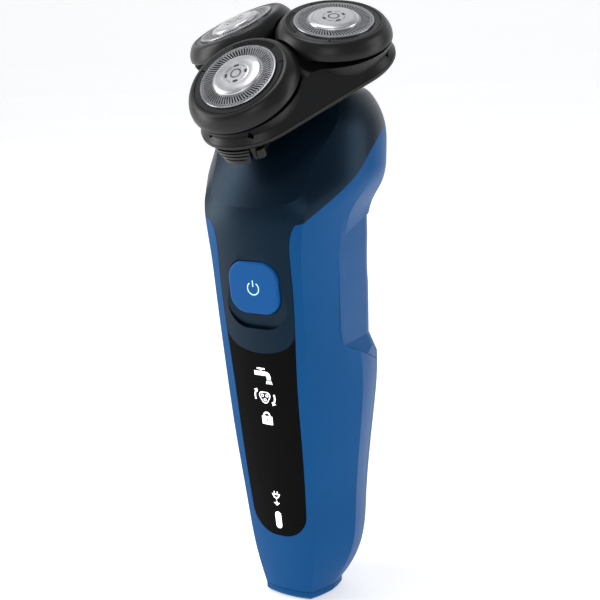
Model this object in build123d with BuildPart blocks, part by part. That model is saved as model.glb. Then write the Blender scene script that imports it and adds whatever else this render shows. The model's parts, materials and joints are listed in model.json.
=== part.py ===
"""Cordless rotary shaver: tapering handle, tilted three-head shaving unit and pop-up trimmer.

Millimetres, +Z up. The origin is the centre of the flat base face. The display faces -Y.
"""

import os
from math import atan2, cos, hypot, radians, sin, sqrt

from build123d import *

os.makedirs("parts", exist_ok=True)

# ---- driving dimensions -------------------------------------------------------------------
seam = 0.12  # visible gap between neighbouring covers
front_wall = 3.2

unit_height = 156.0  # centre of the plane through the three cap edges
unit_y = -8.0
unit_tilt = 30.0  # shaving unit leans towards the user
head_tilt = 15.0  # each head leans outwards
head_spacing = 30.06
head_count = 3

cap_radius = 10.35
dome_radius = 6.6
ring_top_radius = 12.7
ring_radius = 15.2
ring_depth = 4.2
ring_gap = 0.45  # half the gap between neighbouring rings
rim_gap = 0.3  # seam under a ring at its outer side
dip = 5.2  # how far the cover falls away under a ring, towards the unit's centre
pivot_depth = 5.9  # a head dips inwards about a hinge under its outer side
pivot_reach = 11.9
pivot_spread = 5.0

lobe_reach = 16.0  # rounded triangle of the unit: three lobes about its centre
foot_radius = 14.6
cover_lean = 0.65  # the cover's sides lean in by this much per millimetre of height
unit_seam = 12.0  # depth where the unit opens
unit_floor = 13.3  # depth of the underside of the unit
neck_depth = 17.0
neck_radius = 14.0
neck_slope = 1.45  # radius gained per millimetre of depth on the shoulder's sloping top

gear_module = 0.6
central_teeth = 36
driven_teeth = 18
gear_reach = gear_module * (central_teeth + driven_teeth) / 2
gear_low = 12.4
gear_high = 11.0

button_z = 93.0
button_width = 15.2
button_height = 14.4
button_corner = 4.9

window_front = -6.05  # front edge of the recess in the handle's back
insert_half_width = 18.0
insert_round = 8.0
insert_round_y = 8.4

trimmer_half_width = 10.15
trimmer_pin_y = 14.3
trimmer_pin_z = 75.0
trimmer_top = 108.6
trimmer_thickness = 5.8

socket_width = 9.4
socket_height = 6.0
socket_deep = 8.4
socket_y = 0.6

motor_radius = 10.0
motor_length = 19.0
motor_face = 22.0  # depth below the unit's centre

# Outlines of the handle: height, front y, front corner, widest point, back rounding centre
# and radius, radius of the flank before and behind the widest point.
handle_rows = (
    (2.4, -8.3, (7.4, -7.2), (10.3, 1.0), (5.0, 4.9), 5.0, 30.0, 30.0),
    (8.0, -9.2, (8.6, -8.0), (13.3, 1.6), (7.3, 6.4), 6.0, 60.0, 40.0),
    (14.5, -10.1, (9.8, -8.7), (15.9, 2.0), (8.8, 7.6), 6.6, 80.0, 40.0),
    (28.0, -11.8, (10.9, -10.3), (17.4, 2.0), (9.4, 8.7), 7.0, 80.0, 40.0),
    (50.0, -14.6, (12.2, -13.1), (19.3, 2.0), (10.4, 10.0), 7.7, 80.0, 40.0),
    (70.0, -17.2, (12.9, -15.4), (20.1, 2.0), (10.9, 11.5), 8.0, 80.0, 40.0),
    (90.0, -19.5, (13.6, -17.3), (18.2, -5.2), (10.0, 8.4), 8.0, 80.0, 200.0),
    (103.0, -20.8, (14.1, -18.5), (18.4, -5.6), (10.0, 8.4), 8.0, 80.0, 200.0),
    (112.0, -21.3, (15.3, -18.4), (20.4, -3.0), (10.4, 9.0), 8.6, 60.0, 200.0),
    (117.0, -20.8, (16.0, -16.6), (22.6, 0.0), (6.4, 7.2), 15.6, 32.0, 60.0),
)

# The round shoulder above them: height, centre and radius of its outline.
shoulder_rows = (
    (121.5, 4.2, 24.1),
    (126.0, 6.0, 23.6),
    (132.0, 8.0, 22.6),
    (137.0, 9.5, 20.5),
    (140.5, 10.5, 18.0),
    (143.0, 10.9, 14.0),
)

# The hollow inside, in the same form.
cavity_rows = (
    (1.9, -5.4, (5.4, -5.0), (8.6, 1.0), (4.2, 4.4), 4.0, 30.0, 30.0),
    (4.4, -5.4, (5.4, -5.0), (8.6, 1.0), (4.2, 4.4), 4.0, 30.0, 30.0),
    (14.5, -6.9, (7.8, -6.2), (13.7, 2.0), (7.6, 6.6), 5.8, 60.0, 40.0),
    (50.0, -11.4, (10.2, -10.6), (17.0, 2.0), (9.2, 9.0), 6.9, 80.0, 60.0),
    (80.0, -15.0, (11.4, -14.0), (16.0, -3.0), (9.8, 8.2), 6.3, 80.0, 200.0),
    (103.0, -17.6, (12.0, -15.9), (16.0, -5.0), (9.8, 8.2), 6.3, 80.0, 200.0),
    (114.5, -17.6, (12.0, -15.2), (16.4, -3.0), (9.8, 8.2), 6.4, 60.0, 200.0),
)
cavity_shoulder_rows = (
    (121.0, 4.2, 22.0),
    (126.0, 6.0, 21.5),
    (131.0, 7.7, 20.6),
    (135.5, 9.2, 18.4),
    (138.5, 10.2, 15.6),
    (140.6, 10.7, 12.0),
)

# ---- frames -------------------------------------------------------------------------------
side_x = Vector(1, 0, 0)
unit_axis = Vector(0, -sin(radians(unit_tilt)), cos(radians(unit_tilt)))
unit_back = Vector(0, cos(radians(unit_tilt)), sin(radians(unit_tilt)))
unit_centre = Vector(0, unit_y, unit_height)
unit = Plane(unit_centre, x_dir=side_x, z_dir=unit_axis)
unit_side = Plane(unit_centre, x_dir=side_x, z_dir=unit_back * -1)  # radius and height
unit_profile = Plane(unit_centre, x_dir=unit_back, z_dir=side_x)  # back and height
unit_line = Axis(unit_centre, unit_axis)

head_reach = head_spacing / sqrt(3)
head_angles = [-90 + 360 / head_count * i for i in range(head_count)]


def head_radial(angle):
    """Direction from the unit's centre to the head at this angle."""
    return side_x * cos(radians(angle)) + unit_back * sin(radians(angle))


def head_plane(angle):
    """Plane through a cap's edge: local x is tangential and local y points to the centre."""
    outwards = head_radial(angle)
    tangent = head_radial(angle + 90)
    normal = unit_axis * cos(radians(head_tilt)) + outwards * sin(radians(head_tilt))
    return Plane(unit_centre + outwards * head_reach, x_dir=tangent, z_dir=normal)


head_planes = [head_plane(angle) for angle in head_angles]

# The front face leans back by the slope of the handle's centre line at the power button.
front_slope = atan2(handle_rows[5][1] - handle_rows[7][1], handle_rows[7][0] - handle_rows[5][0])
button_normal = Vector(0, -cos(front_slope), -sin(front_slope))
button_y = -19.85
button_plane = Plane(Vector(0, button_y, button_z), x_dir=side_x, z_dir=button_normal)


def write(piece, name):
    """Label a finished piece and write its STEP file."""
    piece.part.label = name
    export_step(piece.part, f"parts/{name}.step")


# ---- shared outlines ----------------------------------------------------------------------
def bowed(start, end, radius):
    """Arc from start to end that bows to the right of its direction."""
    chord = hypot(end[0] - start[0], end[1] - start[1])
    sagitta = radius - sqrt(radius**2 - chord**2 / 4)
    across = ((end[1] - start[1]) / chord, (start[0] - end[0]) / chord)
    middle = (
        (start[0] + end[0]) / 2 + across[0] * sagitta,
        (start[1] + end[1]) / 2 + across[1] * sagitta,
    )
    ThreePointArc(start, middle, end)


def handle_outline(front, corner, flank, centre, rounding, flank_radius, side_radius):
    """Edges of a crowned front, flaring flanks and a rounded back, symmetric about x = 0."""
    rise = corner[1] - front
    crown = (corner[0] ** 2 + rise**2) / (2 * rise)
    low_angle = radians(5)
    high_angle = radians(80)
    behind = (centre[0] + rounding * cos(low_angle), centre[1] + rounding * sin(low_angle))
    turn = (centre[0] + rounding * cos(high_angle), centre[1] + rounding * sin(high_angle))
    back_radius = rounding + centre[0] / cos(high_angle)
    back = centre[1] - centre[0] * sin(high_angle) / cos(high_angle) + back_radius
    with BuildLine() as outline:
        bowed((0, front), corner, crown)
        bowed(corner, flank, flank_radius)
        bowed(flank, behind, side_radius)
        bowed(behind, turn, rounding)
        bowed(turn, (0, back), back_radius)
        mirror(about=Plane.YZ)
    return outline.edges()


def circle_row(height, middle, radius):
    """Row of the same form whose outline is a full circle about (0, middle)."""
    corner_x = 0.6 * radius
    corner_y = middle - sqrt(radius**2 - corner_x**2)
    flank_y = middle - 0.05 * radius
    flank_x = sqrt(radius**2 - (flank_y - middle) ** 2)
    circle = ((0, middle), radius, radius, radius)
    return (height, middle - radius, (corner_x, corner_y), (flank_x, flank_y)) + circle


def handle_solid(rows, ruled=False):
    """Solid through the outlines, smooth unless it is ruled."""
    with BuildPart() as solid:
        for height, *row in rows:
            outline = handle_outline(*row)
            with BuildSketch(Plane.XY.offset(height)):
                make_face(outline)
        loft(ruled=ruled)
    return solid.part


def neck_solid(depth, radius):
    """Short drum about the unit's axis that carries the shaving unit."""
    with BuildPart() as solid:
        with BuildSketch(unit.offset(-depth - 14)):
            Circle(radius)
        extrude(amount=14)
    return solid.part


def slope_solid(depth, radius):
    """Everything under the sloping top that falls away from the neck."""
    reach = 190
    with BuildPart() as solid:
        with BuildSketch(unit_side):
            with BuildLine():
                Polyline(
                    (0, -depth),
                    (radius, -depth),
                    (radius + neck_slope * reach, -depth - reach),
                    (0, -depth - reach),
                    close=True,
                )
            make_face()
        revolve(axis=unit_line)
    return solid.part


def lobes(reach, radius):
    """Rounded triangle around three lobes, on the sketch's own plane."""
    with PolarLocations(reach, head_count, start_angle=-90):
        Circle(radius)
    make_hull()


# ---- handle covers ------------------------------------------------------------------------
with BuildPart() as handle_body:
    add(handle_solid(handle_rows + tuple(circle_row(*row) for row in shoulder_rows)))
    add(neck_solid(neck_depth, neck_radius))
    add(slope_solid(neck_depth, neck_radius), mode=Mode.INTERSECT)

with BuildPart() as handle_cavity:
    hollow_rows = cavity_rows + tuple(circle_row(*row) for row in cavity_shoulder_rows)
    add(handle_solid(hollow_rows, ruled=True))
    add(neck_solid(neck_depth + 2.2, neck_radius - 1.6))
    add(slope_solid(neck_depth + 2.2, neck_radius - 0.8), mode=Mode.INTERSECT)

with BuildPart() as handle_shell:
    add(handle_body.part)
    add(handle_cavity.part, mode=Mode.SUBTRACT)

# Regions that divide the shell into its covers.
with BuildPart() as collar_region:
    with BuildSketch(Plane.YZ):
        with BuildLine():
            Spline(
                (-34, 100), (-18.6, 110.6), (-12, 115.3), (-4, 121.5), (8, 130.2), (17, 133.7),
                (34, 135),
            )
            Polyline((34, 135), (34, 170), (-34, 170), (-34, 100))
        make_face()
    extrude(amount=34, both=True)


def tongue_solid(gap):
    """Tapering strip down the front that holds the button and the display."""
    with BuildPart() as solid:
        with BuildSketch(Plane.XZ):
            with BuildLine():
                Spline(
                    (16.2 - gap, 113.2),
                    (14.1 - gap, 111.4),
                    (12.4 - gap, 109.2),
                    (11.4 - gap, 106.2),
                    (11.1 - gap, 102),
                    (11.2 - gap, 96),
                    (10.1 - gap, 68),
                    (9.6 - gap, 48),
                    (8.7 - gap, 27.5),
                )
                ThreePointArc((8.7 - gap, 27.5), (6.1 - gap, 21.9 + gap), (0, 20 + gap))
                Line((16.2 - gap, 113.2), (0, 113.2))
                mirror(about=Plane.YZ)
            make_face()
        extrude(amount=40)
    return solid.part


def button_panel_solid(gap):
    """Everything above the rounded lower end of the button's panel."""
    with BuildPart() as solid:
        with BuildSketch(Plane.XZ):
            with BuildLine():
                ThreePointArc((6.4, 75.9 + gap), (0, 74.8 + gap), (-6.4, 75.9 + gap))
                ThreePointArc((6.4, 75.9 + gap), (9.3, 77.9 + gap), (11.0, 82.5 + gap))
                Line((11.0, 82.5 + gap), (13, 96))
                Line((13, 96), (13, 106))
                mirror(edges()[1:], about=Plane.YZ)
                Polyline((13, 106), (24, 125), (-24, 125), (-13, 106))
            make_face()
        extrude(amount=40)
    return solid.part


def back_window_solid(gap):
    """Wrap-around recess in the flanks and back, seen as a leaning shape from the side."""
    with BuildPart() as solid:
        with BuildSketch(Plane.YZ) as outline:
            with BuildLine():
                Polyline(
                    (window_front + gap, 76.4 + gap),
                    (window_front + gap, 105.5 - gap),
                    (34, 114.5 - gap),
                    (34, 58.4 + gap),
                    close=True,
                )
            make_face()
            fillet(outline.vertices().group_by(Axis.X)[0], 6.5)
        extrude(amount=34, both=True)
    return solid.part


with BuildPart() as button_hole:
    with BuildSketch(button_plane.offset(-8)):
        RectangleRounded(button_width + 0.5, button_height + 0.5, button_corner + 0.25)
    extrude(amount=12)

# The dish around the button runs deeper towards its lower rim.
dish_plane = Plane(
    button_plane.origin + button_plane.y_dir * -1.25 + button_normal * -0.85,
    x_dir=side_x,
    z_dir=button_normal.rotate(Axis.X, 3.2),
)
with BuildPart() as button_dish:
    with BuildSketch(dish_plane):
        RectangleRounded(18.6, 20.0, 6.4)
    extrude(amount=8)

with BuildPart() as neck_bore:
    with BuildSketch(unit.offset(-neck_depth - 6)):
        Circle(6.2)
    extrude(amount=12)

with BuildPart() as front_region:
    add(tongue_solid(seam))
    add(button_panel_solid(seam), mode=Mode.INTERSECT)
    add(collar_region.part)

with BuildPart() as front_housing:
    add(handle_shell.part)
    add(front_region.part, mode=Mode.INTERSECT)
    add(button_hole.part, mode=Mode.SUBTRACT)
    add(button_dish.part, mode=Mode.SUBTRACT)
    add(neck_bore.part, mode=Mode.SUBTRACT)
write(front_housing, "front_housing")

with BuildPart() as display_window:
    add(handle_shell.part)
    add(tongue_solid(seam), mode=Mode.INTERSECT)
    add(button_panel_solid(0), mode=Mode.SUBTRACT)
write(display_window, "display_window")

with BuildPart() as grip_shell:
    add(handle_shell.part)
    add(collar_region.part, mode=Mode.SUBTRACT)
    add(tongue_solid(0), mode=Mode.SUBTRACT)
    add(back_window_solid(0), mode=Mode.SUBTRACT)
write(grip_shell, "grip_shell")

plug_height = 2.0
with BuildPart() as base_cap:
    cap_outline = handle_outline(*handle_rows[0][1:])
    with BuildSketch():
        make_face(cap_outline)
    extrude(amount=handle_rows[0][0] - seam)
    chamfer(base_cap.faces().sort_by(Axis.Z)[0].edges(), 0.9)
    plug_outline = handle_outline(*cavity_rows[0][1:])
    with BuildSketch(Plane.XY.offset(handle_rows[0][0] - seam)):
        make_face(plug_outline)
        offset(amount=-0.1, mode=Mode.REPLACE)
    extrude(amount=plug_height)
    with BuildSketch(Plane.XY):
        with Locations((0, socket_y)):
            SlotOverall(socket_width + 0.2, socket_height + 0.2)
    extrude(amount=6, mode=Mode.SUBTRACT)
write(base_cap, "base_cap")

# ---- back insert and pop-up trimmer --------------------------------------------------------
pocket_half_width = 10.5
pocket_low = 71.2
pocket_high = 110.4
pocket_floor = 10.1

insert_flare = 2.6  # the recess runs out over this much at its lower end
flare_low = 69.4
flare_high = 75.8


def insert_outline(flare):
    """Edges of the recessed flanks and back, grown by the flare."""
    return handle_outline(
        window_front - 3, (insert_half_width - 1 + flare, window_front - 2.5),
        (insert_half_width + flare, window_front - 2),
        (insert_half_width - insert_round, insert_round_y), insert_round + flare, 300.0, 300.0,
    )


straight_edges = insert_outline(0)
flared_edges = insert_outline(insert_flare)
with BuildPart() as insert_prism:
    with BuildSketch(Plane.XY.offset(flare_high)):
        make_face(straight_edges)
    extrude(amount=50)
insert_back = insert_prism.part.bounding_box().max.Y

with BuildPart() as insert_foot:
    with BuildSketch(Plane.XY.offset(50)):
        make_face(flared_edges)
    extrude(amount=flare_low - 50)

with BuildPart() as insert_body:
    with BuildSketch(Plane.XY.offset(flare_low)):
        make_face(flared_edges)
    with BuildSketch(Plane.XY.offset(flare_high)):
        make_face(straight_edges)
    loft(ruled=True)
    add(insert_prism.part)
    add(insert_foot.part)
    add(handle_body.part, mode=Mode.INTERSECT)

with BuildPart() as trimmer_pocket:
    with BuildSketch(Plane.XZ.offset(-pocket_floor)):
        with Locations((0, (pocket_low + pocket_high) / 2)):
            RectangleRounded(2 * pocket_half_width, pocket_high - pocket_low, 1.2)
    extrude(amount=-12)

with BuildPart() as back_insert:
    add(insert_body.part)
    add(handle_cavity.part, mode=Mode.SUBTRACT)
    add(back_window_solid(seam), mode=Mode.INTERSECT)
    add(trimmer_pocket.part, mode=Mode.SUBTRACT)
    with BuildSketch(Plane.YZ):
        with Locations((trimmer_pin_y, trimmer_pin_z)):
            Circle(0.9)
    extrude(amount=12, both=True, mode=Mode.SUBTRACT)
write(back_insert, "back_insert")

with BuildPart() as trimmer_housing:
    with BuildSketch(Plane.XZ.offset(-pocket_floor + 1.1)):
        with Locations((0, (pocket_low + pocket_high) / 2)):
            RectangleRounded(2 * pocket_half_width + 2.2, pocket_high - pocket_low + 2.2, 2)
    extrude(amount=-12)
    add(handle_cavity.part, mode=Mode.INTERSECT)
    add(trimmer_pocket.part, mode=Mode.SUBTRACT)
    with BuildSketch(Plane.YZ):
        with Locations((trimmer_pin_y, trimmer_pin_z)):
            Circle(0.9)
    extrude(amount=30, both=True, mode=Mode.SUBTRACT)
write(trimmer_housing, "trimmer_housing")

comb_low = 97.0
skin_inside = 14.2
with BuildPart() as trimmer_door:
    with BuildSketch(Plane.YZ):
        with BuildLine():
            Polyline(
                (insert_back + 1, trimmer_pin_z),
                (insert_back + 1, trimmer_top),
                (skin_inside, trimmer_top),
                (skin_inside, comb_low - 0.6),
                (insert_back - trimmer_thickness, comb_low - 0.6),
                (insert_back - trimmer_thickness, trimmer_pin_z),
                close=True,
            )
        make_face()
        with Locations((trimmer_pin_y, trimmer_pin_z)):
            Circle(insert_back - trimmer_pin_y)
    extrude(amount=trimmer_half_width, both=True)
    add(insert_body.part, mode=Mode.INTERSECT)
    with BuildSketch(Plane.YZ):
        with Locations((trimmer_pin_y, trimmer_pin_z)):
            Circle(0.97)
    extrude(amount=30, both=True, mode=Mode.SUBTRACT)
    with BuildSketch(Plane.XZ.offset(-insert_back + 1.6)):
        with Locations((0, 90)):
            RectangleRounded(10.6, 14.0, 1.6)
    extrude(amount=-6, mode=Mode.SUBTRACT)
write(trimmer_door, "trimmer_door")

with BuildPart() as trimmer_pin:
    with BuildSketch(Plane.YZ):
        with Locations((trimmer_pin_y, trimmer_pin_z)):
            Circle(0.9)
    extrude(amount=11.4, both=True)
write(trimmer_pin, "trimmer_pin")

with BuildPart() as trimmer_slide:
    with BuildSketch(Plane.XZ.offset(-insert_back + 1.55)):
        with Locations((0, 88.4)):
            RectangleRounded(10.2, 10.4, 1.4)
    extrude(amount=-2.5)
    with BuildSketch(Plane.XZ.offset(-insert_back - 0.45)):
        with Locations((0, 88.4)):
            with GridLocations(0, 1.7, 1, 5):
                Rectangle(7.4, 0.7)
    extrude(amount=-2, mode=Mode.SUBTRACT)
write(trimmer_slide, "trimmer_slide")


def tooth_plate(back, thickness, low, high, half_width, pitch, gullet):
    """Flat steel plate with a row of teeth along its upper edge."""
    with BuildPart() as plate:
        with BuildSketch(Plane.XZ.offset(-back)):
            with Locations((0, (low + high) / 2)):
                Rectangle(2 * half_width, high - low)
            with Locations((0, high)):
                with GridLocations(pitch, 0, round(2 * half_width / pitch) - 1, 1):
                    SlotOverall(2 * gullet, pitch * 0.45, rotation=90, mode=Mode.SUBTRACT)
        extrude(amount=thickness)
    return plate


trimmer_comb = tooth_plate(skin_inside, 0.6, comb_low, 108.3, 9.6, 1.2, 3.0)
write(trimmer_comb, "trimmer_comb")
trimmer_blade = tooth_plate(skin_inside - 0.65, 0.5, comb_low + 3, 108.0, 8.4, 1.0, 2.4)
write(trimmer_blade, "trimmer_blade")

with BuildPart() as trimmer_clip:
    with BuildSketch(Plane.XZ.offset(-skin_inside + 0.6)):
        with Locations((0, comb_low + 1.3)):
            Rectangle(17.0, 2.2)
    extrude(amount=1.2)
write(trimmer_clip, "trimmer_clip")


# ---- power button --------------------------------------------------------------------------
button_proud = 0.05
button_plate = 2.4
button_stem = 3.2
board_depth = 5.4  # circuit board behind the front face
board_thickness = 1.0
switch_height = 1.5

with BuildPart() as power_button:
    with BuildSketch(button_plane.offset(-button_plate)):
        RectangleRounded(button_width, button_height, button_corner)
    extrude(amount=button_plate + button_proud)
    fillet(power_button.faces().sort_by(Axis.Y)[0].edges(), 0.7)
    with BuildSketch(button_plane.offset(-button_stem)):
        Circle(2.0)
    extrude(amount=button_stem - button_plate)
write(power_button, "power_button")

# ---- electronics ---------------------------------------------------------------------------
board_low = 22.0
board_high = 101.0
front_line_y = handle_rows[3][1]
front_line_z = handle_rows[3][0]
front_lean = atan2(handle_rows[3][1] - handle_rows[6][1], handle_rows[6][0] - handle_rows[3][0])
front_normal = Vector(0, -cos(front_lean), -sin(front_lean))
front_plane = Plane(Vector(0, front_line_y, front_line_z), x_dir=side_x, z_dir=front_normal)
board_plane = front_plane.offset(-board_depth - board_thickness)


def along_front(height):
    """Distance up the front face at this height."""
    return (height - front_line_z) / cos(front_lean)


with BuildPart() as circuit_board:
    with BuildSketch(board_plane):
        with Locations((0, along_front((board_low + board_high) / 2))):
            RectangleRounded(15.0, board_high - board_low, 1.5)
    extrude(amount=board_thickness)
write(circuit_board, "circuit_board")

icon_heights = (69.0, 62.3, 55.9, 32.5, 24.9)
with BuildPart() as light_guides:
    with BuildSketch(board_plane.offset(board_thickness)):
        for height in icon_heights:
            with Locations((0, along_front(height))):
                Rectangle(6.0, 4.6)
    extrude(amount=board_depth - front_wall - 0.5)
write(light_guides, "light_guides")

with BuildPart() as power_switch:
    with BuildSketch(board_plane.offset(board_thickness)):
        with Locations((0, along_front(button_z))):
            Rectangle(4.6, 4.6)
    extrude(amount=switch_height - 0.5)
    with BuildSketch(board_plane.offset(board_thickness + switch_height - 0.5)):
        with Locations((0, along_front(button_z))):
            Circle(1.2)
    extrude(amount=0.5)
write(power_switch, "power_switch")

battery_radius = 7.1
battery_y = 4.4
battery_low = 17.0
battery_high = 66.0
with BuildPart() as battery:
    with BuildSketch(Plane.XY.offset(battery_low)):
        with Locations((0, battery_y)):
            Circle(battery_radius)
    extrude(amount=battery_high - battery_low - 1.0)
    chamfer(battery.edges().filter_by(GeomType.CIRCLE), 0.5)
    with BuildSketch(Plane.XY.offset(battery_high - 1.0)):
        with Locations((0, battery_y)):
            Circle(2.6)
    extrude(amount=1.0)
write(battery, "battery")

rail_x = 8.4
rail_width = 1.2
with BuildPart() as inner_chassis:
    for side in (-1, 1):
        with BuildSketch(Plane.YZ.offset(side * rail_x - rail_width / 2)):
            with BuildLine():
                Polyline(
                    (-2.0, 12.5), (-7.4, 70), (-10.6, 100), (-10.6, 104),
                    (3.0, 104), (8.0, 70), (8.0, 12.5), close=True,
                )
            make_face()
        extrude(amount=rail_width)
    for low, front, back in ((13.5, -1.5, 8.0), (67.2, -6.4, 7.6), (100.5, -10.0, 2.6)):
        with BuildSketch(Plane.XY.offset(low)):
            with Locations((0, (front + back) / 2)):
                Rectangle(2 * rail_x, back - front)
        extrude(amount=1.6)
write(inner_chassis, "inner_chassis")

with BuildPart() as charging_socket:
    with BuildSketch(Plane.XY.offset(0.3)):
        with Locations((0, socket_y)):
            SlotOverall(socket_width, socket_height)
    extrude(amount=socket_deep + 1.2)
    with BuildSketch(Plane.XY.offset(handle_rows[0][0] + 2.2)):
        with Locations((0, socket_y)):
            RectangleRounded(11.4, 7.4, 1.2)
    extrude(amount=1.4)
    with BuildSketch(Plane.XY.offset(0.3)):
        with Locations((0, socket_y)):
            SlotOverall(socket_width - 1.2, socket_height - 1.2)
    extrude(amount=socket_deep, mode=Mode.SUBTRACT)
write(charging_socket, "charging_socket")

with BuildPart() as contact_pins:
    with BuildSketch(Plane.XY.offset(socket_deep - 3.0)):
        with Locations((0, socket_y)):
            with GridLocations(3.2, 0, 2, 1):
                Circle(0.5)
    extrude(amount=3.3)
write(contact_pins, "contact_pins")

# ---- drive ---------------------------------------------------------------------------------
with BuildPart() as motor:
    with BuildSketch(unit.offset(-motor_face - motor_length)):
        Circle(motor_radius)
    extrude(amount=motor_length)
    chamfer(motor.edges().filter_by(GeomType.CIRCLE), 0.8)
    with BuildSketch(unit.offset(-motor_face - 6)):
        Circle(1.9)
    extrude(amount=8, mode=Mode.SUBTRACT)
write(motor, "motor")

with BuildPart() as motor_mount:
    with BuildSketch(unit.offset(-motor_face)):
        Circle(11.9)
        Circle(4.2, mode=Mode.SUBTRACT)
    extrude(amount=1.4)
    with BuildSketch(unit.offset(-motor_face - 4)):
        Circle(motor_radius + 1.4)
        Circle(motor_radius, mode=Mode.SUBTRACT)
    extrude(amount=4)
write(motor_mount, "motor_mount")

with BuildPart() as neck_seal:
    with BuildSketch(unit.offset(-neck_depth)):
        Circle(12.6)
        Circle(8.0, mode=Mode.SUBTRACT)
    extrude(amount=0.3)
write(neck_seal, "neck_seal")

hub_top = 9.9
with BuildPart() as drive_spindle:
    with BuildSketch(unit.offset(-motor_face - 5.5)):
        Circle(1.6)
    extrude(amount=motor_face + 5.5 - 15.0)
write(drive_spindle, "drive_spindle")


def gear_solid(teeth):
    """Spur gear about the origin, a gear's thickness high."""
    with BuildPart() as gear:
        with BuildSketch():
            Circle(gear_module * teeth / 2 - 1.25 * gear_module)
        extrude(amount=gear_low - gear_high)
        root = gear_module * teeth / 2 - 1.25 * gear_module - 0.2
        tip = gear_module * teeth / 2 + 0.8 * gear_module
        with BuildSketch() as tooth:
            with BuildLine():
                Polyline((root, -0.48), (tip, -0.2), (tip, 0.2), (root, 0.48), close=True)
            make_face()
        with PolarLocations(0, teeth):
            extrude(tooth.sketch, amount=gear_low - gear_high)
    return gear.part


with BuildPart() as central_gear:
    with Locations(unit.offset(-gear_low)):
        add(gear_solid(central_teeth))
    with BuildSketch(unit.offset(-15.0)):
        Circle(3.2)
    extrude(amount=15.0 - hub_top - 1.6)
write(central_gear, "central_gear")

spindle_tip = 3.85
for number, angle in enumerate(head_angles, 1):
    place = Plane(unit_centre + head_radial(angle) * gear_reach, x_dir=side_x, z_dir=unit_axis)
    with BuildPart() as driven_gear:
        with Locations(place.offset(-gear_low)):
            add(gear_solid(driven_teeth))
        with BuildSketch(place.offset(-gear_high)):
            Circle(1.7)
        extrude(amount=gear_high - 7.4)
        with BuildSketch(place.offset(-7.4)):
            RegularPolygon(1.05, 3)
        extrude(amount=7.4 - spindle_tip)
    write(driven_gear, f"driven_gear_{number}")

# ---- shaving unit: base and cover ----------------------------------------------------------
base_floor = 0.7
plate_low = 10.7  # underside of the transmission plate, on the base's inner rim
plate_thickness = 0.8
plate_radius = 11.9
rim_thickness = 1.0
cover_wall = 1.6
hinge_back = foot_radius + lobe_reach / 2 + 0.9
hinge_depth = unit_seam - 0.05
knuckle_radius = 1.5
hinge_point = (hinge_back, -hinge_depth)
screw_start = head_angles[0] + 60
screw_reach = 16.5

latch_front = 29.0
latch_back = 17.0
latch_low = 17.3
latch_roof = 13.45  # top of the release button's pocket
pocket_back = 26.9
pocket_half_width = 4.95
slot_half_width = 4.3


def knuckle(low, high, radius, web, mode=Mode.ADD):
    """Hinge barrel from low to high along x, with a web that reaches the unit's wall."""
    with BuildSketch(unit_profile.offset(low)) as profile:
        with Locations(hinge_point):
            Circle(radius)
            if web:
                with Locations((-1.3, web * 0.65)):
                    Rectangle(2.4, 1.3)
    extrude(profile.sketch, amount=high - low, mode=mode)


def block(half_width, front, back, low, high, mode=Mode.ADD):
    """Box under the unit, from one depth to another."""
    with BuildSketch(unit.offset(-low)) as outline:
        with Locations((0, -(front + back) / 2)):
            Rectangle(2 * half_width, front - back)
    extrude(outline.sketch, amount=low - high, mode=mode)


with BuildPart() as latch_housing:
    with BuildSketch(unit.offset(-latch_low)):
        with Locations((0, -(latch_front - 0.6 + latch_back) / 2)):
            RectangleRounded(11.2, latch_front - 0.6 - latch_back, 1.4)
    with BuildSketch(unit.offset(-unit_floor + 0.4)):
        with Locations((0, -(latch_front + latch_back) / 2)):
            RectangleRounded(12.4, latch_front - latch_back, 1.4)
    loft(ruled=True)
    block(pocket_half_width, 32, pocket_back, 20, latch_roof, mode=Mode.SUBTRACT)
    block(slot_half_width, pocket_back + 1, 23.6, 17.0, latch_roof, mode=Mode.SUBTRACT)

with BuildPart() as unit_base:
    with BuildSketch(unit.offset(-unit_floor)):
        lobes(lobe_reach, foot_radius)
    extrude(amount=unit_floor - unit_seam)
    chamfer(unit_base.faces().sort_by(unit_line)[0].edges(), 0.5)
    with BuildSketch(unit.offset(-unit_seam)):
        lobes(lobe_reach, plate_radius)
    extrude(amount=unit_seam - plate_low)
    with BuildSketch(unit.offset(-unit_floor + base_floor)):
        lobes(lobe_reach, plate_radius - rim_thickness)
    extrude(amount=unit_floor, mode=Mode.SUBTRACT)
    with BuildSketch(unit_side):
        with BuildLine():
            Polyline(
                (4.4, -unit_floor), (19.5, -unit_floor), (14.6, -neck_depth + 0.3),
                (4.4, -neck_depth + 0.3), close=True,
            )
        make_face()
    revolve(axis=unit_line)
    with BuildSketch(unit.offset(-neck_depth)):
        Circle(4.4)
    extrude(amount=6, mode=Mode.SUBTRACT)
    add(latch_housing.part)
    with BuildSketch(unit.offset(-unit_floor + 0.6)):
        with PolarLocations(screw_reach, head_count, start_angle=screw_start):
            Circle(1.7)
    extrude(amount=unit_floor - 0.6 - plate_low)
    with BuildSketch(unit.offset(-unit_floor + 0.8)):
        with PolarLocations(screw_reach, head_count, start_angle=screw_start):
            Circle(0.6)
    extrude(amount=unit_floor, mode=Mode.SUBTRACT)
    knuckle(-4.1, 4.1, knuckle_radius + 0.25, 0, mode=Mode.SUBTRACT)
    knuckle(4.2, 9.0, knuckle_radius, -1)
    knuckle(-9.0, -4.2, knuckle_radius, -1)
    knuckle(-10, 10, 0.7, 0, mode=Mode.SUBTRACT)
write(unit_base, "unit_base")

with BuildPart() as transmission_plate:
    with BuildSketch(unit.offset(-plate_low)):
        lobes(lobe_reach, plate_radius - 0.1)
        with PolarLocations(gear_reach, head_count, start_angle=-90):
            Circle(2.0, mode=Mode.SUBTRACT)
        with PolarLocations(screw_reach, head_count, start_angle=screw_start):
            Circle(0.7, mode=Mode.SUBTRACT)
    extrude(amount=0.8)
write(transmission_plate, "transmission_plate")

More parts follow.
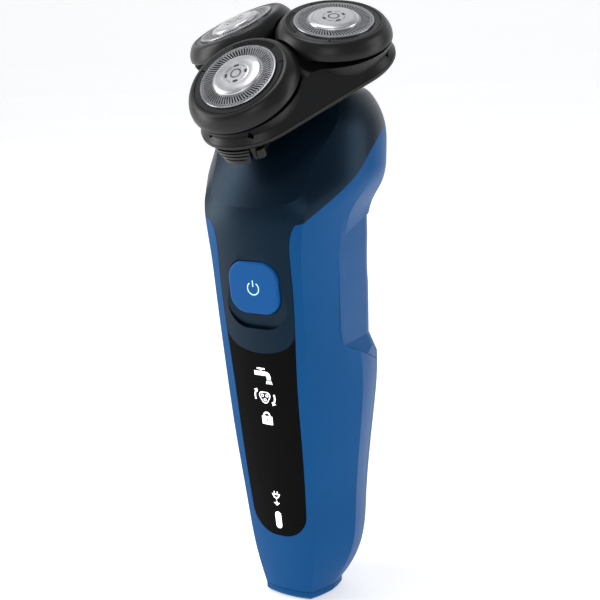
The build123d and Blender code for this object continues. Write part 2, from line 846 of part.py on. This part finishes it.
with BuildPart() as plate_screws:
    with BuildSketch(unit.offset(-9.9)):
        with PolarLocations(screw_reach, head_count, start_angle=screw_start):
            Circle(1.2)
    extrude(amount=0.7)
    with BuildSketch(unit.offset(-unit_floor + 0.9)):
        with PolarLocations(screw_reach, head_count, start_angle=screw_start):
            Circle(0.6)
    extrude(amount=unit_floor - 0.9 - 9.9)
write(plate_screws, "plate_screws")

with BuildPart() as unit_hinge_pin:
    with BuildSketch(unit_profile.offset(-8.8)):
        with Locations(hinge_point):
            Circle(0.7)
    extrude(amount=17.6)
write(unit_hinge_pin, "unit_hinge_pin")



def release_face(half_width, front):
    """Outline of the release button's plate, bowed to the front."""
    back = -28.2
    left_corner = (-half_width, -front + 1.0)
    right_corner = (half_width, -front + 1.0)
    with BuildLine() as outline:
        Polyline(left_corner, (-half_width, back), (half_width, back), right_corner)
        ThreePointArc(left_corner, (0, -front), right_corner)
    return outline.edges()


release_top = 13.6
release_low = 17.9
rib_depths = (14.5, 15.6, 16.7)
top_edges = release_face(4.7, 30.4)
low_edges = release_face(3.8, 29.6)
groove_edges = release_face(8.0, 29.3)
with BuildPart() as release_grooves:
    for depth in rib_depths:
        with BuildSketch(unit.offset(-depth)) as groove:
            with Locations((0, -31)):
                Rectangle(14, 5.4)
            make_face(groove_edges, mode=Mode.SUBTRACT)
        extrude(groove.sketch, amount=0.42)

with BuildPart() as release_button:
    with BuildSketch(unit.offset(-release_low)):
        make_face(low_edges)
    with BuildSketch(unit.offset(-release_top)):
        make_face(top_edges)
    loft(ruled=True)
    add(release_grooves.part, mode=Mode.SUBTRACT)
    block(slot_half_width - 0.3, 28.4, 25.4, 16.7, 13.8)
write(release_button, "release_button")

with BuildPart() as release_clip:
    with BuildSketch(unit.offset(-16.9)):
        with BuildLine():
            ThreePointArc((6.02, -28.2), (7.4, -26.6), (6.02, -25.0))
            Line((6.02, -25.0), (6.02, -25.5))
            ThreePointArc((6.02, -25.5), (6.95, -26.6), (6.02, -27.7))
            Line((6.02, -27.7), (6.02, -28.2))
        make_face()
    extrude(amount=2.3)
write(release_clip, "release_clip")


def under_heads(depth, low):
    """Space above a depth of the unit that stays this far under the three rings."""
    with BuildPart() as solid:
        with BuildSketch(unit.offset(-low)):
            Circle(60)
        extrude(amount=40)
        for plane in head_planes:
            rim = plane.origin - plane.y_dir * ring_radius - plane.z_dir * depth
            normal = plane.z_dir * cos(radians(dip)) + plane.y_dir * sin(radians(dip))
            with BuildSketch(Plane(rim, x_dir=plane.x_dir, z_dir=normal)):
                Rectangle(200, 200)
            extrude(amount=60, mode=Mode.SUBTRACT)
    return solid.part


def cover_solid(wall):
    """Three round cups, one under each ring, joined by sides that lean in; wall insets it."""
    height = 9.0
    with BuildPart() as solid:
        with BuildSketch(unit.offset(-unit_seam)):
            lobes(lobe_reach, foot_radius - wall)
        with BuildSketch(unit.offset(-unit_seam + height)):
            lobes(lobe_reach, foot_radius - wall - cover_lean * height)
        loft(ruled=True)
    cups = []
    for plane in head_planes:
        with BuildPart() as cup:
            with BuildSketch(plane.offset(-ring_depth)):
                Circle(ring_radius - 0.05 - wall)
            with BuildSketch(plane.offset(-ring_depth - 5.4)):
                Circle(ring_radius - 1.5 - wall)
            loft()
        cups.append(cup.part)
    with BuildPart() as joined:
        add(solid.part)
        for cup in cups:
            add(cup)
    return joined.part


cover_top = 1.5
with BuildPart() as cover_hollow:
    add(cover_solid(cover_wall))
    add(under_heads(ring_depth + rim_gap + cover_top, unit_seam + 1), mode=Mode.INTERSECT)

with BuildPart() as unit_cover:
    add(cover_solid(0))
    add(under_heads(ring_depth + rim_gap, unit_seam - 0.1), mode=Mode.INTERSECT)
    add(cover_hollow.part, mode=Mode.SUBTRACT)
    for plane in head_planes:
        with BuildSketch(plane.offset(-14)):
            Circle(10.3)
            with Locations((0, -pivot_reach)):
                with GridLocations(2 * pivot_spread, 0, 2, 1):
                    Rectangle(3.2, 3.0)
        extrude(amount=14, mode=Mode.SUBTRACT)
    with BuildSketch(unit.offset(-unit_seam)):
        lobes(lobe_reach, plate_radius + 0.1)
    extrude(amount=unit_seam - plate_low + plate_thickness + 0.2, mode=Mode.SUBTRACT)
    knuckle(-9.3, 9.3, knuckle_radius + 0.25, 0, mode=Mode.SUBTRACT)
    knuckle(-3.9, 3.9, knuckle_radius, 1)
    knuckle(-10, 10, 0.76, 0, mode=Mode.SUBTRACT)
write(unit_cover, "unit_cover")

with BuildPart() as retaining_frame:
    with BuildSketch(unit.offset(-9.75)):
        Circle(7.0)
        with PolarLocations(14.7, head_count, start_angle=-90):
            Circle(9.0)
        with PolarLocations(14.7, head_count, start_angle=-90):
            Circle(6.0, mode=Mode.SUBTRACT)
    extrude(amount=0.7)
write(retaining_frame, "retaining_frame")

# ---- heads, made once about the origin and placed three times -------------------------------
ring_bore = cap_radius + 0.12
skirt = 2.4
groove_radii = (11.4, 12.0)
groove_start = 170.0  # the grooves run round the outer side of the ring, from here
groove_end = 385.0
slot_count = 22
slot_arc = 64.0  # the slots lie on the side towards the unit's centre
with BuildSketch(Plane.XY.offset(-0.4)) as ring_grooves:
    for radius in groove_radii:
        Circle(radius + 0.11)
        Circle(radius - 0.11, mode=Mode.SUBTRACT)
    with BuildLine():
        Polyline(
            (0, 0),
            (20 * cos(radians(groove_end)), 20 * sin(radians(groove_end))),
            (0, 40),
            (20 * cos(radians(groove_start)), 20 * sin(radians(groove_start))),
            close=True,
        )
    make_face(mode=Mode.SUBTRACT)
    for radius in groove_radii:
        for end in (groove_start, groove_end):
            with Locations((radius * cos(radians(end)), radius * sin(radians(end)))):
                Circle(0.27)
with BuildSketch(Plane.XY.offset(-0.6)) as ring_slots:
    with PolarLocations(11.65, slot_count, start_angle=90 - slot_arc / 2, angular_range=slot_arc):
        Rectangle(1.3, 0.3)

with BuildPart() as ring_form:
    with BuildSketch(Plane.XZ):
        with BuildLine():
            Polyline(
                (ring_radius, -ring_depth + 0.25), (ring_radius - 0.25, -ring_depth),
                (9.9, -ring_depth), (9.9, -skirt), (ring_bore, -skirt), (ring_bore, -0.15),
                (ring_top_radius - 0.3, 0.0),
            )
            Spline(
                (ring_top_radius - 0.3, 0.0), (13.8, -0.8), (14.8, -2.3),
                (ring_radius, -ring_depth + 0.25), tangents=((1, -0.05), (0.1, -1)),
            )
        make_face()
    revolve(axis=Axis.Z)
    extrude(ring_grooves.sketch, amount=1, mode=Mode.SUBTRACT)
    extrude(ring_slots.sketch, amount=1, mode=Mode.SUBTRACT)
    with BuildSketch(Plane.XY.offset(-pivot_depth)):
        with Locations((0, -pivot_reach)):
            with GridLocations(2 * pivot_spread, 0, 2, 1):
                Rectangle(1.8, 1.8)
    extrude(amount=pivot_depth - ring_depth + 0.2)
    for side in (-1, 1):
        with BuildSketch(Plane.YZ.offset(side * pivot_spread - 1.3)):
            with Locations((-pivot_reach, -pivot_depth)):
                Circle(0.95)
        extrude(amount=2.6)

with BuildPart() as cap_form:
    with BuildSketch(Plane.XZ):
        with BuildLine():
            Polyline(
                (0, 0.05), (cap_radius - 0.35, 0.05), (cap_radius - 0.35, -skirt),
                (cap_radius, -skirt), (cap_radius, 0.05), (cap_radius - 0.3, 0.35),
                (0, 0.35), close=True,
            )
        make_face()
    revolve(axis=Axis.Z)

with BuildPart() as dome_form:
    with BuildSketch(Plane.XZ):
        with BuildLine():
            Polyline((0, 1.25), (0, 0.35), (dome_radius, 0.35))
            Spline(
                (dome_radius, 0.35), (dome_radius - 0.5, 0.95), (3.6, 1.18), (0, 1.25),
                tangents=((0, 1), (-1, 0)),
            )
        make_face()
    revolve(axis=Axis.Z)

blade_count = 15
with BuildSketch(Plane.XY.offset(-2.0)) as blade:
    with Locations((8.0, 0)):
        Rectangle(2.8, 0.4)
with BuildPart() as cutter_form:
    with BuildSketch(Plane.XY.offset(-2.6)):
        Circle(9.3)
    extrude(amount=0.7)
    with PolarLocations(0, blade_count):
        extrude(blade.sketch, amount=1.92)
    with BuildSketch(Plane.XY.offset(-5.0)):
        Circle(3.0)
    extrude(amount=2.6)
    with BuildSketch(Plane.XY.offset(-5.0)):
        Circle(2.0)
    extrude(amount=2.6, mode=Mode.SUBTRACT)

for number, (angle, plane) in enumerate(zip(head_angles, head_planes), 1):
    # A ring keeps to its own third of the triangle.
    reach = 60
    start = ring_gap / sin(radians(60))
    with BuildPart() as sector:
        with BuildSketch(Plane(unit_centre, x_dir=head_radial(angle), z_dir=unit_axis).offset(-20)):
            with BuildLine():
                Polyline(
                    (start, 0),
                    (start + reach * cos(radians(60)), reach * sin(radians(60))),
                    (start + reach, 0),
                    (start + reach * cos(radians(60)), -reach * sin(radians(60))),
                    close=True,
                )
            make_face()
        extrude(amount=40)
    with BuildPart() as holder_ring:
        with Locations(plane):
            add(ring_form.part)
        add(sector.part, mode=Mode.INTERSECT)
    write(holder_ring, f"holder_ring_{number}")
    for form, name in ((cap_form, "steel_cap"), (dome_form, "cap_dome"), (cutter_form, "cutter")):
        with BuildPart() as placed:
            with Locations(plane):
                add(form.part)
        write(placed, f"{name}_{number}")
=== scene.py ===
"""Looks of the rotary shaver: materials, slotted steel caps, symbols, studio and camera.

Metres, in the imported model's own frame: +Z up the handle, -Y out of the display.
"""

import json
from math import cos, pi, radians, sin

import bmesh
import bpy
from mathutils import Matrix, Vector
from mathutils.bvhtree import BVHTree


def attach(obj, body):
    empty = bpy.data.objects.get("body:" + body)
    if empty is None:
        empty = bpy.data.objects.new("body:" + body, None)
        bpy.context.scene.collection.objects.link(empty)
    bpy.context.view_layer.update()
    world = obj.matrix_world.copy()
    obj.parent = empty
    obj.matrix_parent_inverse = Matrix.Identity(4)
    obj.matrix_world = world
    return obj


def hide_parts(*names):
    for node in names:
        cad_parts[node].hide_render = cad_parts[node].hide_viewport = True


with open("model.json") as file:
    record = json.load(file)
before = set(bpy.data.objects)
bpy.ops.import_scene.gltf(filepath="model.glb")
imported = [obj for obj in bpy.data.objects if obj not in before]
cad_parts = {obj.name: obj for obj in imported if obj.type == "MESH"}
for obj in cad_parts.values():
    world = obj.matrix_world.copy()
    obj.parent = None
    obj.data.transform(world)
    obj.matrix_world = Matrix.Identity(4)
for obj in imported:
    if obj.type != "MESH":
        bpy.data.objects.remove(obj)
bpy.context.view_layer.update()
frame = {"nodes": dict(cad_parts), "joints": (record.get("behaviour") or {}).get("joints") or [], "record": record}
nodes = frame["nodes"]
joints = {joint["name"]: joint for joint in frame["joints"]}
MM = 0.001
HEADS = (1, 2, 3)
VIEW = 31.08  # azimuth of the camera in degrees
VIEW_HEIGHT = 12.78  # its elevation
VIEW_ROLL = -1.71
VIEW_PLACE = (159.7, -261.3, 155.1)  # millimetres
LENS = 68.07


# ---- camera and studio ----------------------------------------------------------------------
def turned_camera(name, place, azimuth, elevation, roll, lens):
    """Camera at a place, looking along an azimuth and an elevation, rolled about its axis."""
    a, e, r = radians(azimuth), radians(elevation), radians(roll)
    back = Vector((sin(a) * cos(e), -cos(a) * cos(e), sin(e)))
    level = Vector((cos(a), sin(a), 0))
    above = back.cross(level)
    right = level * cos(r) + above * sin(r)
    up = above * cos(r) - level * sin(r)
    data = bpy.data.cameras.new(name)
    data.sensor_width = 36
    data.lens = lens
    camera = bpy.data.objects.new(name, data)
    camera.matrix_world = Matrix.Translation(place) @ Matrix((right, up, back)).transposed().to_4x4()
    bpy.context.scene.collection.objects.link(camera)
    bpy.context.scene.camera = camera


def soft_box(name, place, target, width, height, power):
    """Rectangular studio light that faces a target."""
    data = bpy.data.lights.new(name, "AREA")
    data.shape = "RECTANGLE"
    data.size, data.size_y = width, height
    data.energy = power
    light = bpy.data.objects.new(name, data)
    direction = Vector(target) - Vector(place)
    light.matrix_world = Matrix.Translation(place) @ direction.to_track_quat("-Z", "Y").to_matrix().to_4x4()
    bpy.context.scene.collection.objects.link(light)


def studio():
    """Pale sweep that rises behind the shaver, dim surroundings and soft lights."""
    reach, back, bend, height, steps = 3.0, 1.3, 0.6, 3.2, 12
    profile = [(-reach, 0.0)]
    for i in range(steps + 1):
        turn = pi / 2 * i / steps
        profile.append((back + bend * sin(turn), bend * (1 - cos(turn))))
    profile.append((back + bend, height))
    look = Vector((-sin(radians(VIEW)), cos(radians(VIEW)), 0))
    side = Vector((look.y, -look.x, 0))
    corners, faces = [], []
    for along, up in profile:
        for across in (-reach, reach):
            corners.append(look * along + side * across + Vector((0, 0, up)))
    for i in range(len(profile) - 1):
        faces.append((2 * i, 2 * i + 1, 2 * i + 3, 2 * i + 2))
    mesh = bpy.data.meshes.new("studio_sweep")
    mesh.from_pydata(corners, [], faces)
    sweep = bpy.data.objects.new("studio_sweep", mesh)
    bpy.context.scene.collection.objects.link(sweep)
    paint = bpy.data.materials.new("sweep_paint")
    paint.use_nodes = True
    shader = paint.node_tree.nodes["Principled BSDF"]
    shader.inputs["Base Color"].default_value = (0.9, 0.9, 0.9, 1)
    shader.inputs["Roughness"].default_value = 0.7
    shader.inputs["Emission Color"].default_value = (1, 1, 1, 1)
    shader.inputs["Emission Strength"].default_value = 0.42
    mesh.materials.append(paint)
    world = bpy.data.worlds.new("studio_world")
    world.use_nodes = True
    world.node_tree.nodes["Background"].inputs["Color"].default_value = (0.95, 0.97, 1.0, 1)
    world.node_tree.nodes["Background"].inputs["Strength"].default_value = 0.42
    bpy.context.scene.world = world
    middle = (0, 0, 0.1)
    soft_box("left_box", (-0.6, -0.3, 0.3), middle, 0.3, 0.7, 3.2)
    soft_box("right_box", (0.62, 0.25, 0.3), middle, 0.3, 0.6, 1.5)
    soft_box("top_box", (-0.12, -0.1, 0.8), middle, 0.3, 0.3, 1.6)
    soft_box("front_box", (0.3, -0.8, 0.35), middle, 0.35, 0.35, 1.0)


# ---- materials ------------------------------------------------------------------------------
def shader_material(name):
    """New node material, its node tree and its shader."""
    material = bpy.data.materials.new(name)
    material.use_nodes = True
    tree = material.node_tree
    return material, tree, tree.nodes["Principled BSDF"]


def noise(tree, scale, detail=3.0, stretch=(1, 1, 1)):
    """Noise in the object's own metres."""
    place = tree.nodes.new("ShaderNodeTexCoord")
    mapping = tree.nodes.new("ShaderNodeMapping")
    mapping.inputs["Scale"].default_value = stretch
    texture = tree.nodes.new("ShaderNodeTexNoise")
    texture.inputs["Scale"].default_value = scale
    texture.inputs["Detail"].default_value = detail
    tree.links.new(place.outputs["Object"], mapping.inputs["Vector"])
    tree.links.new(mapping.outputs["Vector"], texture.inputs["Vector"])
    return texture.outputs["Fac"]


def spread(tree, value, low, high):
    """Value from 0.3..0.7 of a noise to low..high."""
    span = tree.nodes.new("ShaderNodeMapRange")
    span.inputs["From Min"].default_value = 0.3
    span.inputs["From Max"].default_value = 0.7
    span.inputs["To Min"].default_value = low
    span.inputs["To Max"].default_value = high
    tree.links.new(value, span.inputs["Value"])
    return span.outputs["Result"]


def tinted(tree, shader, value, dark, light):
    """Base colour between two tints."""
    ramp = tree.nodes.new("ShaderNodeValToRGB")
    ramp.color_ramp.elements[0].color = (*dark, 1)
    ramp.color_ramp.elements[1].color = (*light, 1)
    ramp.color_ramp.elements[0].position = 0.3
    ramp.color_ramp.elements[1].position = 0.7
    tree.links.new(value, ramp.inputs["Fac"])
    tree.links.new(ramp.outputs["Color"], shader.inputs["Base Color"])


def bumped(tree, shader, value, strength, distance):
    """Fine relief from a value."""
    bump = tree.nodes.new("ShaderNodeBump")
    bump.inputs["Strength"].default_value = strength
    bump.inputs["Distance"].default_value = distance
    tree.links.new(value, bump.inputs["Height"])
    tree.links.new(bump.outputs["Normal"], shader.inputs["Normal"])


def plastic(name, colour, roughness, grain=0.12, vary=0.04, sheen=0.5, tint=(1, 1, 1)):
    """Moulded plastic with a fine spark-eroded grain and a slight unevenness of colour."""
    material, tree, shader = shader_material(name)
    broad = noise(tree, 60)
    fine = noise(tree, 2600, 2)
    dark = [channel * (1 - vary) for channel in colour]
    light = [channel * (1 + vary) for channel in colour]
    tinted(tree, shader, broad, dark, light)
    rough = spread(tree, fine, roughness - 0.04, roughness + 0.04)
    tree.links.new(rough, shader.inputs["Roughness"])
    bumped(tree, shader, fine, grain, 0.00002)
    shader.inputs["Specular IOR Level"].default_value = sheen
    shader.inputs["Specular Tint"].default_value = (*tint, 1)
    return material


def metal(name, colour, roughness, scale=900, stretch=(1, 1, 1), grain=0.1, vary=0.1):
    """Ground or rolled metal with grain along one direction."""
    material, tree, shader = shader_material(name)
    shader.inputs["Metallic"].default_value = 1.0
    lines = noise(tree, scale, 3, stretch)
    dark = [channel * (1 - vary) for channel in colour]
    tinted(tree, shader, lines, dark, colour)
    rough = spread(tree, lines, roughness - 0.05, roughness + 0.05)
    tree.links.new(rough, shader.inputs["Roughness"])
    bumped(tree, shader, lines, grain, 0.00001)
    return material


def glow(name, colour, strength):
    """Lit symbol: bright moulded light guide with a faint unevenness."""
    material, tree, shader = shader_material(name)
    tinted(tree, shader, noise(tree, 900), [channel * 0.93 for channel in colour], colour)
    shader.inputs["Roughness"].default_value = 0.4
    shader.inputs["Emission Color"].default_value = (*colour, 1)
    shader.inputs["Emission Strength"].default_value = strength
    return material


NAVY_SHEEN = (0.3, 0.62, 1.0)
MATERIALS = {
    "blue_shell": plastic("blue_satin", (0.0003, 0.068, 0.225), 0.42, sheen=0.2, tint=(0.5, 0.8, 1.0)),
    "navy_shell": plastic("navy_satin", (0.001, 0.004, 0.009), 0.34, sheen=0.3, tint=NAVY_SHEEN),
    "blue_button": plastic("blue_button", (0.0003, 0.082, 0.285), 0.32, grain=0.05, sheen=0.15),
    "display": plastic("display_gloss", (0.001, 0.001, 0.001), 0.08, grain=0.0, sheen=0.05),
    "black_plastic": plastic("black_satin", (0.004, 0.004, 0.0045), 0.34, sheen=0.3),
    "steel": metal("cap_steel", (0.36, 0.36, 0.38), 0.28, scale=300, grain=0.03, vary=0.05),
    # cutters darkened to near black: painted shade of the cutters seen through the slots
    "cutter_steel": metal("cutter_steel", (0.008, 0.008, 0.009), 0.45),
    "silver_cap": metal("pressed_silver", (0.6, 0.6, 0.62), 0.3, scale=250, grain=0.0, vary=0.03),
    "pin_steel": metal("pin_steel", (0.4, 0.4, 0.42), 0.34, stretch=(0.1, 1, 1)),
    "motor_can": metal("motor_can", (0.6, 0.6, 0.62), 0.28),
    "battery_can": plastic("battery_sleeve", (0.02, 0.14, 0.1), 0.35),
    "board": plastic("board_laminate", (0.01, 0.09, 0.03), 0.4),
    "switch": plastic("switch_plastic", (0.02, 0.02, 0.02), 0.3),
    "light_guide": glow("light_guide", (0.9, 0.93, 1.0), 0.3),
    "contact_brass": metal("plated_contact", (0.7, 0.52, 0.2), 0.25),
    "seal_rubber": plastic("seal_rubber", (0.01, 0.01, 0.01), 0.6, grain=0.3),
    "gear_plastic": plastic("acetal", (0.75, 0.74, 0.7), 0.4),
}


def dress(piece, material):
    """The piece's only material."""
    piece.data.materials.clear()
    piece.data.materials.append(material)


def dress_nodes():
    """Every CAD node gets the material of its slot."""
    for part in frame["record"]["subparts"]:
        dress(nodes[part["node"]], MATERIALS[part["material_slot"]])


# ---- pieces ---------------------------------------------------------------------------------
def piece_from(name, mesh, body, material):
    """Object from a bmesh, which rides on a body and wears the given material."""
    data = bpy.data.meshes.new(name)
    mesh.to_mesh(data)
    mesh.free()
    piece = bpy.data.objects.new(name, data)
    bpy.context.scene.collection.objects.link(piece)
    dress(piece, material)
    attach(piece, body)
    return piece


def head_matrix(number):
    """Frame of a head: x tangential, y towards the unit's middle, z out of the cap."""
    spin = joints[f"cutter_spin_{number}"]
    axis = Vector(spin["axis"]).normalized()
    tangent = Vector(joints["motor_spin"]["axis"]).cross(axis).normalized()
    turn = Matrix((tangent, axis.cross(tangent), axis)).transposed().to_4x4()
    return Matrix.Translation(spin["pos_m"]) @ turn


class Flat:
    """Flat shapes drawn in millimetres, to be laid on a surface."""

    def __init__(self):
        self.mesh = bmesh.new()

    def face(self, points):
        corners = [self.mesh.verts.new((x, y, 0)) for x, y in points]
        self.mesh.faces.new(corners)

    def disc(self, x, y, radius, sides=20):
        turns = [2 * pi * i / sides for i in range(sides)]
        self.face([(x + radius * cos(t), y + radius * sin(t)) for t in turns])

    def band(self, x, y, inner, outer, start, end, steps=24):
        """Part of a ring between two angles in degrees."""
        turns = [radians(start + (end - start) * i / steps) for i in range(steps + 1)]
        for a, b in zip(turns, turns[1:]):
            self.face([
                (x + inner * cos(a), y + inner * sin(a)), (x + outer * cos(a), y + outer * sin(a)),
                (x + outer * cos(b), y + outer * sin(b)), (x + inner * cos(b), y + inner * sin(b)),
            ])

    def bar(self, x0, y0, x1, y1, width):
        """Straight stroke."""
        along = Vector((x1 - x0, y1 - y0)).normalized() * width / 2
        across = Vector((-along.y, along.x))
        self.face([
            (x0 - across.x, y0 - across.y), (x1 - across.x, y1 - across.y),
            (x1 + across.x, y1 + across.y), (x0 + across.x, y0 + across.y),
        ])


def lay_on(flat, target, matrix, lift=0.02, thick=0.03):
    """Project flat shapes along the matrix's -z onto a CAD node and give them a thickness."""
    mesh = flat.mesh
    bmesh.ops.subdivide_edges(mesh, edges=[e for e in mesh.edges if e.calc_length() > 1.2], cuts=2)
    tree = BVHTree.FromPolygons(
        [v.co for v in target.data.vertices], [list(p.vertices) for p in target.data.polygons]
    )
    direction = -matrix.col[2].to_3d().normalized()
    for vertex in mesh.verts:
        start = matrix @ (vertex.co * MM) - direction * 0.02
        hit = tree.ray_cast(start, direction)[0]
        if hit is None:
            raise ValueError("a symbol misses its surface")
        vertex.co = hit - direction * lift * MM
    bmesh.ops.solidify(mesh, geom=mesh.faces[:], thickness=-thick * MM)
    return mesh


# ---- steel caps -----------------------------------------------------------------------------
SLOTS = 72
SLOT_BANDS = (6.7, 6.95, 7.75, 8.55, 9.35, 9.55, 9.8, 10.05)
SLOT_OPEN = {1, 2, 3}
DOT_OPEN = {5}
CAP_EDGE = 10.35
CAP_SKIRT = -2.3
CAP_HOLE = 5.8  # edge of the steel under the silver cap
CAP_TOP = 0.33
CAP_SHEET = 0.25  # thickness of the steel
SLOT_LEAN = 0.035  # turn of a slot in radians per millimetre of radius
LEAN_REACH = 3.4  # the lean stops growing this far out from the first band


def slotted_cap(number):
    """Pressed steel cap with slanted slots all round, a ring of dots and a turned-down edge."""
    mesh = bmesh.new()
    columns = 4 * SLOTS
    rings = []

    def ring(radius, height, slant=0.0):
        row = []
        for i in range(columns):
            turn = 2 * pi * i / columns + slant
            row.append(mesh.verts.new((radius * cos(turn) * MM, radius * sin(turn) * MM, height * MM)))
        rings.append(row)

    ring(CAP_HOLE, CAP_TOP)
    for radius in SLOT_BANDS:
        ring(radius, CAP_TOP, slant=SLOT_LEAN * (radius - SLOT_BANDS[0]))
    outer_lean = SLOT_LEAN * LEAN_REACH
    ring(CAP_EDGE - 0.1, CAP_TOP - 0.02, slant=outer_lean)
    ring(CAP_EDGE, CAP_TOP - 0.13, slant=outer_lean)
    ring(CAP_EDGE, CAP_SKIRT, slant=outer_lean)
    for level, (low, high) in enumerate(zip(rings, rings[1:])):
        for i in range(columns):
            part = i % 4
            is_slot = (level - 1) in SLOT_OPEN and part in (0, 1)
            is_dot = (level - 1) in DOT_OPEN and part in (2, 3)
            if is_slot or is_dot:
                continue
            j = (i + 1) % columns
            mesh.faces.new((low[i], high[i], high[j], low[j]))
    bmesh.ops.recalc_face_normals(mesh, faces=mesh.faces[:])
    mesh.transform(head_matrix(number))
    cap = piece_from(f"slotted_cap_{number}", mesh, f"head_{number}", MATERIALS["steel"])
    thickness = cap.modifiers.new("thickness", "SOLIDIFY")
    thickness.thickness = CAP_SHEET * MM
    thickness.offset = -1
    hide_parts(f"steel_cap_{number}")


def cap_marks_and_groove_shade(number):
    """Painted shade of the hub groove as a dark ring, plus four drive marks, arcs and a ring of fine dots, on the
    silver cap.
    """
    flat = Flat()
    # painted shade: dark ring standing for the shadow in the hub groove
    flat.band(0, 0, 1.15, 1.5, 0, 360, 40)
    for i in range(4):
        middle = 20 + 90 * i
        flat.band(0, 0, 2.35, 3.05, middle - 14, middle + 14, 6)
        flat.band(0, 0, 2.75, 2.85, middle + 26, middle + 64, 8)
    for i in range(72):
        turn = 2 * pi * i / 72
        flat.disc(5.35 * cos(turn), 5.35 * sin(turn), 0.07, 6)
        flat.disc(5.7 * cos(turn + 0.04), 5.7 * sin(turn + 0.04), 0.07, 6)
    mesh = lay_on(flat, nodes[f"cap_dome_{number}"], head_matrix(number), lift=0.005, thick=0.02)
    piece_from(f"cap_marks_and_groove_shade_{number}", mesh, f"head_{number}", MARK_AND_GROOVE_SHADE)


# ---- symbols --------------------------------------------------------------------------------
def front_matrix(height):
    """Frame on the front at a height: x to the right, y up, z out of the front."""
    turn = Matrix(((1, 0, 0), (0, 0, -1), (0, 1, 0))).to_4x4()
    return Matrix.Translation((0, -0.03, height * MM)) @ turn


def power_symbol():
    flat = Flat()
    flat.band(0, 0, 1.55, 1.85, 125, 415, 40)
    flat.bar(0, 0.5, 0, 2.2, 0.32)
    return flat


def tap_symbol():
    flat = Flat()
    flat.bar(-1.55, 2.0, 0.95, 2.0, 0.42)
    flat.bar(-0.3, 1.2, -0.3, 1.85, 0.5)
    flat.face([(-2.5, 0.05), (1.0, 0.05), (1.0, 1.25), (-2.5, 1.25)])
    flat.band(1.0, -0.25, 0.3, 1.5, 0, 90, 10)
    flat.bar(1.9, -0.25, 1.9, -1.0, 1.2)
    for lean in range(-2, 3):
        flat.bar(1.9 + 0.28 * lean, -1.3, 1.9 + 0.46 * lean, -2.3, 0.2)
    return flat


def heads_symbol():
    """Rounded triangle with three small rings, between two curved arrows."""
    flat = Flat()
    spread_out, corner, stroke = 0.82, 0.95, 0.13
    for middle in (30, 150, 270):
        x, y = spread_out * cos(radians(middle)), spread_out * sin(radians(middle))
        flat.band(x, y, corner - stroke, corner + stroke, middle - 60, middle + 60, 12)
        flat.band(x, y, 0.26, 0.46, 0, 360, 16)
        away = Vector((cos(radians(middle + 60)), sin(radians(middle + 60)))) * corner
        turn = radians(middle + 120)
        flat.bar(
            x + away.x, y + away.y,
            spread_out * cos(turn) + away.x, spread_out * sin(turn) + away.y, 2 * stroke,
        )
    for side in (-1, 1):
        middle = 90 - 90 * side
        flat.band(0, 0, 2.85, 3.3, middle - 30, middle + 18, 12)
        tip = radians(middle - 30)
        out = Vector((cos(tip), sin(tip)))
        along = Vector((out.y, -out.x))
        point = out * 3.08
        flat.face([
            tuple(point + along * 0.9), tuple(point + out * 0.72), tuple(point - out * 0.72),
        ])
    return flat


def lock_symbol():
    flat = Flat()
    for side in (-1, 1):
        flat.bar(0.9 * side, -1.7, 0.9 * side, 0.75, 1.5)
        flat.bar(0.87 * side, 0.75, 0.87 * side, 0.95, 0.45)
    flat.bar(0, 0.1, 0, 0.75, 0.3)
    flat.bar(0, -1.7, 0, -1.0, 0.3)
    flat.band(0, 0.95, 0.65, 1.1, 0, 180, 16)
    return flat


def plug_symbol():
    """Outline of a plug above an arrow."""
    flat = Flat()
    flat.band(0, 1.15, 0.75, 1.1, 180, 360, 16)
    flat.bar(-1.25, 1.3, 1.25, 1.3, 0.3)
    for side in (-1, 1):
        flat.bar(0.5 * side, 1.45, 0.5 * side, 2.2, 0.3)
    flat.bar(0, 0.05, 0, -0.3, 0.34)
    flat.bar(0, -0.75, 0, -1.3, 0.4)
    flat.face([(-1.0, -1.3), (0, -2.2), (1.0, -1.3)])
    return flat


def battery_symbol():
    flat = Flat()
    flat.band(0, 1.65, 0.0, 0.95, 0, 180, 12)
    flat.face([(-0.95, -1.65), (0.95, -1.65), (0.95, 1.65), (-0.95, 1.65)])
    flat.band(0, -1.65, 0.0, 0.95, 180, 360, 12)
    return flat


SYMBOLS = {
    "tap_symbol": (tap_symbol, 68.5),
    "heads_symbol": (heads_symbol, 62.3),
    "lock_symbol": (lock_symbol, 55.9),
    "plug_symbol": (plug_symbol, 31.6),
    "battery_symbol": (battery_symbol, 24.9),
}
POWER_HEIGHT = 92.9


def symbols():
    """Lit symbols on the display and the power mark on its button."""
    white = glow("symbol_white", (0.95, 0.97, 1.0), 1.1)
    for name, (draw, height) in SYMBOLS.items():
        mesh = lay_on(draw(), nodes["display_window"], front_matrix(height))
        piece_from(name, mesh, "handle", white)
    pale = glow("symbol_pale", (0.55, 0.8, 0.95), 0.35)
    mesh = lay_on(power_symbol(), nodes["power_button"], front_matrix(POWER_HEIGHT))
    piece_from("power_symbol", mesh, "button", pale)


# ---- scene ----------------------------------------------------------------------------------
bpy.context.scene.view_settings.view_transform = "Standard"
turned_camera("photo_camera", Vector(VIEW_PLACE) * MM, VIEW, VIEW_HEIGHT, VIEW_ROLL, LENS)
studio()
# dark metal for the cap marks, also used as painted shade of the hub groove
MARK_AND_GROOVE_SHADE = metal("dark_mark_and_groove_shade", (0.06, 0.06, 0.065), 0.4)
dress_nodes()
for number in HEADS:
    slotted_cap(number)
    cap_marks_and_groove_shade(number)
symbols()
